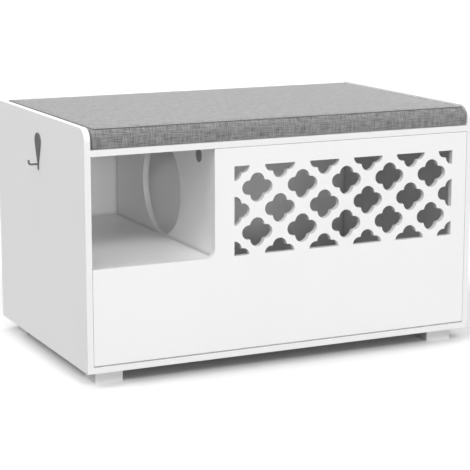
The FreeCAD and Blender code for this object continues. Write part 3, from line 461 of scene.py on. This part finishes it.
# Painted shade: along the seam's fold the cover colour turns dark grey, where shade falls in the
# crease.
seam_shade_mask = add_node(cloth_tree, "ShaderNodeAttribute", {"attribute_name": "seam_fold_and_shade"})
cover_colour = add_node(
    cloth_tree, "ShaderNodeMix", {"data_type": "RGBA"},
    input0=seam_shade_mask.outputs["Fac"], input6=dye.outputs[2], input7=linear(painted_seam_shade))
cloth_relief = add_node(
    cloth_tree, "ShaderNodeBump", Strength=0.5, Distance=thread_height, Height=yarn.outputs[0])
cloth_shader = add_node(
    cloth_tree, "ShaderNodeBsdfPrincipled", Base_Color=cover_colour.outputs[2], Roughness=0.9,
    Sheen_Weight=0.4, Sheen_Roughness=0.5, Normal=cloth_relief.outputs[0])
add_node(cloth_tree, "ShaderNodeOutputMaterial", Surface=cloth_shader.outputs[0])
cushion.data.materials.append(melange)
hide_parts("cushion_cover", "cushion_core")
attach(cushion, "cushion")


# Seam thread: the row of lock stitches that joins the top panel to the band, in a dark grey
# polyester thread that lies in the fold of the seam all the way round. Its dark grey is partly
# the thread's own colour and partly painted shade for the fold. The colour goes darker in random
# spots along the twist as painted shade in its grooves, and the strands have a slight sheen.
twist_length = 1.5 * MM
stitch_pitch = 4.5 * MM
stitch_length = 4.6 * MM
thread_width = 1.1 * MM
thread_lift = 0.5 * MM
uneven_pull = 0.1
pull_seed = 5
polyester, thread_tree = new_material("dark_thread_and_seam_shade")
thread_spot = add_node(thread_tree, "ShaderNodeTexCoord")
twist_groove_shade = add_node(
    thread_tree, "ShaderNodeTexNoise", Vector=thread_spot.outputs["Object"],
    Scale=1 / twist_length, Detail=2.0)
thread_colour = add_node(
    thread_tree, "ShaderNodeMix", {"data_type": "RGBA"},
    input0=twist_groove_shade.outputs["Fac"], input6=linear("#3A3A3A"), input7=linear("#5A5A5A"))
thread_shader = add_node(
    thread_tree, "ShaderNodeBsdfPrincipled", Base_Color=thread_colour.outputs[2], Roughness=0.6,
    Sheen_Weight=0.2)
add_node(thread_tree, "ShaderNodeOutputMaterial", Surface=thread_shader.outputs[0])
seam_line = bpy.data.meshes.new("seam_line")
seam_line.from_pydata(
    [spot + Vector((0.0, 0.0, thread_lift)) for spot in seam_points],
    [(index, (index + 1) % len(seam_points)) for index in range(len(seam_points))], [])
stitches = bpy.data.objects.new("seam_stitches", seam_line)
bpy.context.scene.collection.objects.link(stitches)

sewing = bpy.data.node_groups.new("lock_stitches", "GeometryNodeTree")
sewing.interface.new_socket("Seam", in_out="INPUT", socket_type="NodeSocketGeometry")
sewing.interface.new_socket("Pitch", in_out="INPUT", socket_type="NodeSocketFloat")
sewing.interface.new_socket("Stitch", in_out="INPUT", socket_type="NodeSocketVector")
sewing.interface.new_socket("Seed", in_out="INPUT", socket_type="NodeSocketInt")
sewing.interface.new_socket("Thread", in_out="INPUT", socket_type="NodeSocketMaterial")
sewing.interface.new_socket("Stitches", in_out="OUTPUT", socket_type="NodeSocketGeometry")
given = add_node(sewing, "NodeGroupInput")
path_curve = add_node(sewing, "GeometryNodeMeshToCurve", Mesh=given.outputs["Seam"])
spaced = add_node(
    sewing, "GeometryNodeResampleCurve", {"mode": "LENGTH"},
    Curve=path_curve.outputs[0], Length=given.outputs["Pitch"])
heading = add_node(sewing, "GeometryNodeInputTangent")
aligned = add_node(
    sewing, "FunctionNodeAlignRotationToVector", {"axis": "X"}, Vector=heading.outputs[0])
pull = add_node(
    sewing, "FunctionNodeRandomValue", {"data_type": "FLOAT"},
    input2=1 - uneven_pull, input3=1 + uneven_pull, Seed=given.outputs["Seed"])
stitch_size = add_node(
    sewing, "ShaderNodeVectorMath", {"operation": "SCALE"},
    input0=given.outputs["Stitch"], Scale=pull.outputs[1])
bead = add_node(sewing, "GeometryNodeMeshUVSphere", Segments=8, Rings=6, Radius=0.5)
laid = add_node(
    sewing, "GeometryNodeInstanceOnPoints", Points=spaced.outputs[0], Instance=bead.outputs[0],
    Rotation=aligned.outputs[0], Scale=stitch_size.outputs[0])
real = add_node(sewing, "GeometryNodeRealizeInstances", Geometry=laid.outputs[0])
dyed = add_node(
    sewing, "GeometryNodeSetMaterial", Geometry=real.outputs[0], Material=given.outputs["Thread"])
add_node(sewing, "NodeGroupOutput", Stitches=dyed.outputs[0])
sewer = stitches.modifiers.new("sewer", "NODES")
sewer.node_group = sewing
identifiers = {item.name: item.identifier for item in sewing.interface.items_tree}
sewer[identifiers["Pitch"]] = stitch_pitch
sewer[identifiers["Stitch"]] = (stitch_length, thread_width, thread_width)
sewer[identifiers["Seed"]] = pull_seed
sewer[identifiers["Thread"]] = polyester
bpy.context.view_layer.update()
graph = bpy.context.evaluated_depsgraph_get()
sewn = bpy.data.meshes.new_from_object(stitches.evaluated_get(graph))
stitches.modifiers.clear()
stitches.data = sewn
sewn.polygons.foreach_set("use_smooth", [True] * len(sewn.polygons))
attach(stitches, "cushion")


# Studio: a wide floor that the camera sees as matt white paper, which throws little light back
# up, an even white surround, and large soft lamps all round, the strongest at the front and left.
floor_size = 30.0
floor_mesh = bpy.data.meshes.new("studio_floor")
half_floor = floor_size / 2
floor_mesh.from_pydata(
    [(x * half_floor, y * half_floor, 0.0) for x, y in ((-1, -1), (1, -1), (1, 1), (-1, 1))],
    [], [(0, 1, 2, 3)])
floor = bpy.data.objects.new("studio_floor", floor_mesh)
bpy.context.scene.collection.objects.link(floor)
floor_paper, floor_tree = new_material("matt_white_paper")
floor_seen = add_node(floor_tree, "ShaderNodeBsdfDiffuse", Color=linear("#F9F9F9"))
floor_bounce = add_node(floor_tree, "ShaderNodeBsdfDiffuse", Color=linear("#9C9C9C"))
floor_path = add_node(floor_tree, "ShaderNodeLightPath")
floor_shader = add_node(
    floor_tree, "ShaderNodeMixShader", input0=floor_path.outputs["Is Camera Ray"],
    input1=floor_bounce.outputs[0], input2=floor_seen.outputs[0])
add_node(floor_tree, "ShaderNodeOutputMaterial", Surface=floor_shader.outputs[0])
floor_mesh.materials.append(floor_paper)

surround = bpy.data.worlds.new("white_surround")
surround.use_nodes = True
bpy.context.scene.world = surround
sky = surround.node_tree
sky.nodes.clear()
path = add_node(sky, "ShaderNodeLightPath")
seen_or_mirrored = add_node(
    sky, "ShaderNodeMath", {"operation": "MAXIMUM"},
    input0=path.outputs["Is Camera Ray"], input1=path.outputs["Is Glossy Ray"])
shown = add_node(
    sky, "ShaderNodeMath", {"operation": "MAXIMUM"},
    input0=seen_or_mirrored.outputs[0], input1=path.outputs["Is Transmission Ray"])
backing = add_node(
    sky, "ShaderNodeBackground", Color=linear("#FFFFFF"), Strength=shown.outputs[0])
add_node(sky, "ShaderNodeOutputWorld", Surface=backing.outputs[0])

# Each lamp's turn from the front, positive to the right, its height and its spread, all in
# degrees, and its strength.
lamps = {
    "front_low": (-4, 8, 10, 0.55),
    "front_right": (12, 5, 15, 0.45),
    "front_high": (0, 43, 18, 1.02),
    "front_left": (-40, 38, 50, 0.95),
    "left_high": (-90, 45, 40, 1.42),
    "rear_left": (-140, 50, 40, 0.5),
    "rear_right": (125, 55, 40, 0.85),
    "right": (95, 30, 40, 0.4),
    "rear": (180, 20, 40, 0.33),
}
for name, (turn, height, spread, strength) in lamps.items():
    lamp_data = bpy.data.lights.new(name, "SUN")
    lamp_data.energy = strength
    lamp_data.angle = math.radians(spread)
    lamp = bpy.data.objects.new(name, lamp_data)
    bpy.context.scene.collection.objects.link(lamp)
    lamp.rotation_euler = (math.radians(90 - height), 0.0, math.radians(turn))

# Camera: a long lens from the front left, a little above the seat, fitted to the photograph.
photo_size_px = 470
focal_length_px = 1695.9
camera_place = (-1.4785, -3.146, 0.9066)
camera_turn = 25.458
camera_tilt = 11.28
camera_data = bpy.data.cameras.new("photo_camera")
camera_data.sensor_width = 36.0
camera_data.lens = focal_length_px / photo_size_px * camera_data.sensor_width
camera = bpy.data.objects.new("photo_camera", camera_data)
bpy.context.scene.collection.objects.link(camera)
camera.location = camera_place
camera.rotation_euler = (math.radians(90 - camera_tilt), 0.0, math.radians(-camera_turn))
bpy.context.scene.camera = camera
bpy.context.scene.view_settings.view_transform = "Standard"

bpy.context.view_layer.update()
